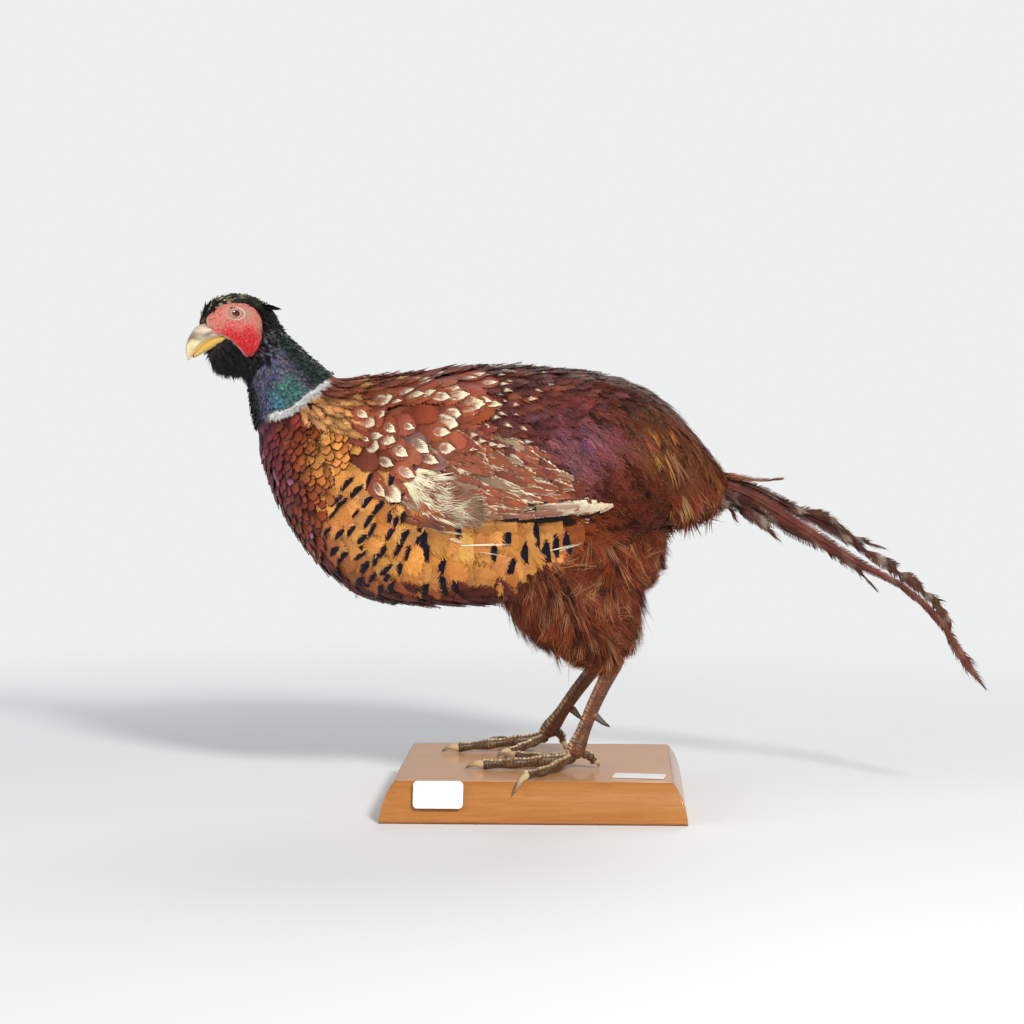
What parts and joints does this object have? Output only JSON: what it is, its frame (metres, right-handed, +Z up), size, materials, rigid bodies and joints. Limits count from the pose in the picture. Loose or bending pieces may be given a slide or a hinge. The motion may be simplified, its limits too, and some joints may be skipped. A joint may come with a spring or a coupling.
{
  "type": "taxidermy pheasant",
  "caption": "Still, life-size mounted cock pheasant with a long bent tail, standing on a bevelled wooden plinth with two plain labels.",
  "frame": {"origin": "centre of the plinth's flat underside", "axes": "+Z up, the bird faces -X with its tail to +X, and its own left side is towards -Y"},
  "size_m": [0.5559, 0.1924, 0.3557],
  "materials": {
    "varnished_wood": "orange-brown varnished wood with a satin gloss",
    "label_card": "plain white card",
    "dark_plumage": "dark blue-green plumage",
    "body_plumage": "coppery and golden scaled plumage",
    "wing_plumage": "chestnut plumage with cream marks",
    "fluff_plumage": "soft rufous-brown fluff",
    "tail_plumage": "maroon-brown vanes",
    "bill_horn": "pale horn",
    "bare_red_skin": "matt red bare skin",
    "eye_glass": "dark brown glass eye",
    "leg_skin": "brown scaly skin",
    "claw_horn": "pale horn with dark tips",
    "spur_horn": "dark grey horn"
  },
  "bodies": {
    "root": {"bill_lower": "bill_horn", "bill_upper": "bill_horn", "claw_hallux_l": "claw_horn", "claw_hallux_r": "claw_horn", "claw_inner_l": "claw_horn", "claw_inner_r": "claw_horn", "claw_middle_l": "claw_horn", "claw_middle_r": "claw_horn", "claw_outer_l": "claw_horn", "claw_outer_r": "claw_horn", "ear_tuft_l": "dark_plumage", "ear_tuft_r": "dark_plumage", "eye_l": "eye_glass", "eye_r": "eye_glass", "head": "dark_plumage", "label_lot": "label_card", "label_ticket": "label_card", "neck": "dark_plumage", "plinth": "varnished_wood", "rump": "body_plumage", "spur_l": "spur_horn", "spur_r": "spur_horn", "tail_broken_r": "tail_plumage", "tail_low_l": "tail_plumage", "tail_low_r": "tail_plumage", "tail_main_l": "tail_plumage", "tail_short_l": "tail_plumage", "tail_short_r": "tail_plumage", "tail_stray": "tail_plumage", "tail_upper_l": "tail_plumage", "tail_upper_r": "tail_plumage", "tarsus_l": "leg_skin", "tarsus_r": "leg_skin", "thigh_l": "fluff_plumage", "thigh_r": "fluff_plumage", "toe_hallux_l": "leg_skin", "toe_hallux_r": "leg_skin", "toe_inner_l": "leg_skin", "toe_inner_r": "leg_skin", "toe_middle_l": "leg_skin", "toe_middle_r": "leg_skin", "toe_outer_l": "leg_skin", "toe_outer_r": "leg_skin", "trunk": "body_plumage", "vent": "fluff_plumage", "wattle_l": "bare_red_skin", "wattle_r": "bare_red_skin", "wing_coverts_l": "wing_plumage", "wing_coverts_r": "wing_plumage", "wing_flight_l": "wing_plumage", "wing_flight_r": "wing_plumage"}
  },
  "joints": []
}
